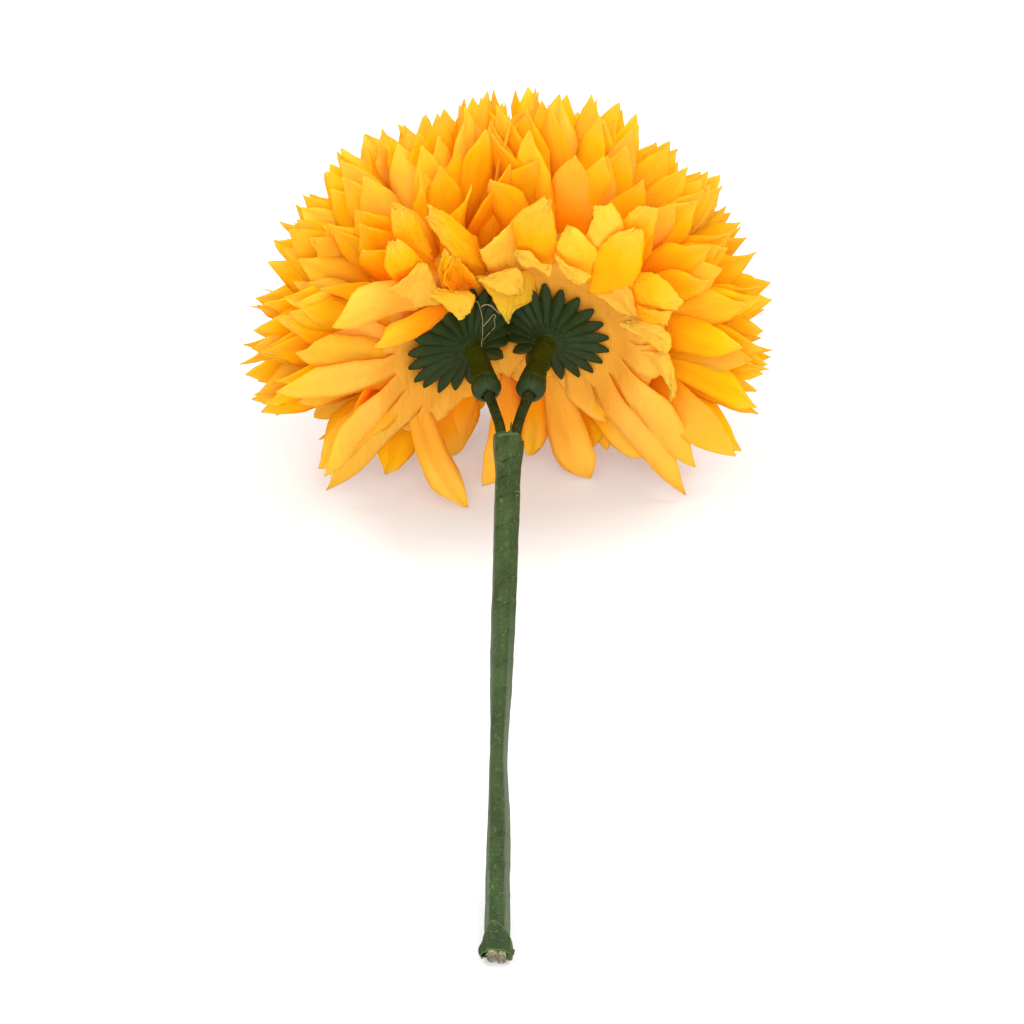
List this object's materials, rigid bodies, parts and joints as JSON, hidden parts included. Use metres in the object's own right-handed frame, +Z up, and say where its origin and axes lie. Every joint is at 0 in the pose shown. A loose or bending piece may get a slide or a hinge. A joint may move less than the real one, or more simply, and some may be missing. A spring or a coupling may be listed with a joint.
{
  "type": "artificial pompon chrysanthemum pick",
  "caption": "Fabric pompon chrysanthemum heads on one forked stem wrapped in floral tape, laid down to rest on its cut end and low petals.",
  "frame": {"origin": "on the surface that the part lies on, below the middle of its whole box", "axes": "+Y runs along the stem from the cut end to the heads, +Z up, +X to the right seen from the cut end"},
  "size_m": [0.1415, 0.2888, 0.108],
  "materials": {
    "petal_fabric": "thin woven petal fabric, bright yellow-orange, darker dyed rims",
    "calyx_plastic": "dark bluish green moulded plastic, matte",
    "socket_plastic": "blue-green moulded plastic, ribbed bulb",
    "branch_tape": "olive green crepe floral tape",
    "stem_tape": "green crepe floral tape with long ridges",
    "rod_plastic": "pale grey-white plastic, cut ends"
  },
  "bodies": {
    "root": {"stem_wrap": "stem_tape", "rod_left": "rod_plastic", "rod_right": "rod_plastic", "branch_tape_left": "branch_tape", "branch_tape_right": "branch_tape", "socket_left": "socket_plastic", "socket_right": "socket_plastic", "calyx_left": "calyx_plastic", "calyx_right": "calyx_plastic", "bloom_left": "petal_fabric", "bloom_right": "petal_fabric"}
  },
  "joints": []
}
